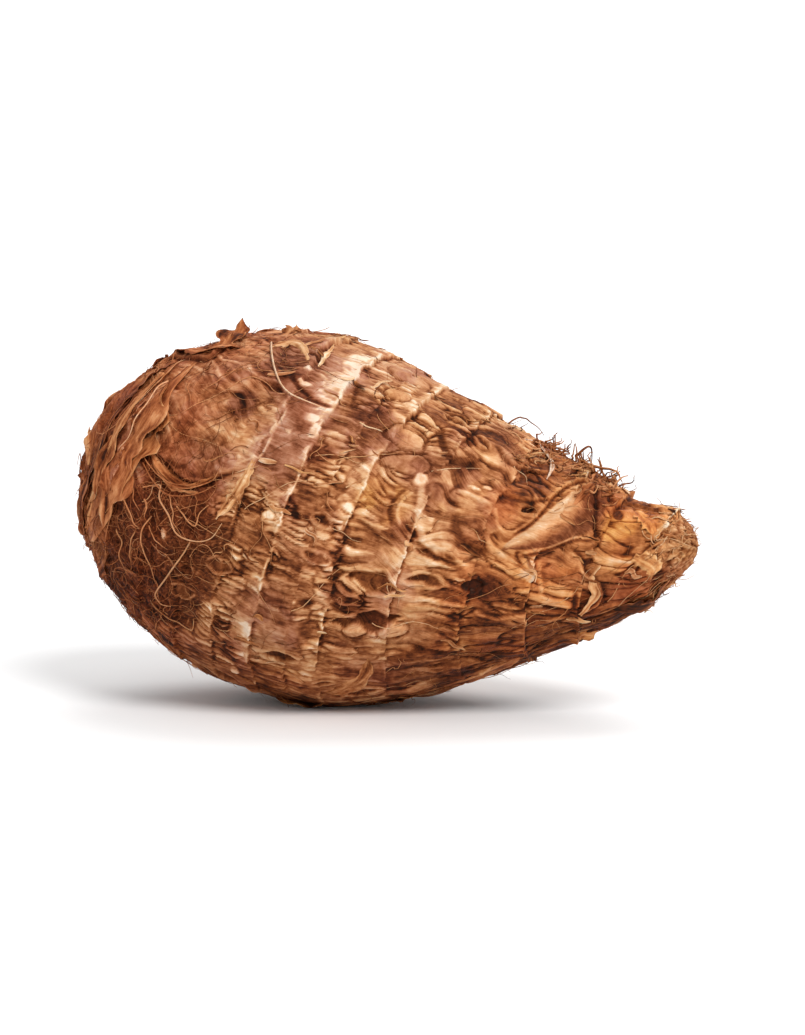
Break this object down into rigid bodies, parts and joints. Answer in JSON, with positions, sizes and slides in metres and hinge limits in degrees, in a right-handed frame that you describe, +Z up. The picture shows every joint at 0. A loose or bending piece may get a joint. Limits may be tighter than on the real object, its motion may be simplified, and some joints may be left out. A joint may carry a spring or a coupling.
{
  "type": "taro root",
  "caption": "Whole taro root lying on its side: a brown corm with leaf-scar rings, shaggy husk and rootlets, tapering to a cut neck. A food and market prop.",
  "frame": {"origin": "centre of the small flat spot that the root rests on, under its widest part", "axes": "+X along the root, from the blunt base towards the cut neck; +Z up from the surface that it lies on; +Y towards its back"},
  "size_m": [0.1446, 0.0849, 0.0853],
  "materials": {
    "husk": "rough, dry, fibrous"
  },
  "bodies": {
    "root": {"taro_corm": "husk"}
  },
  "joints": []
}
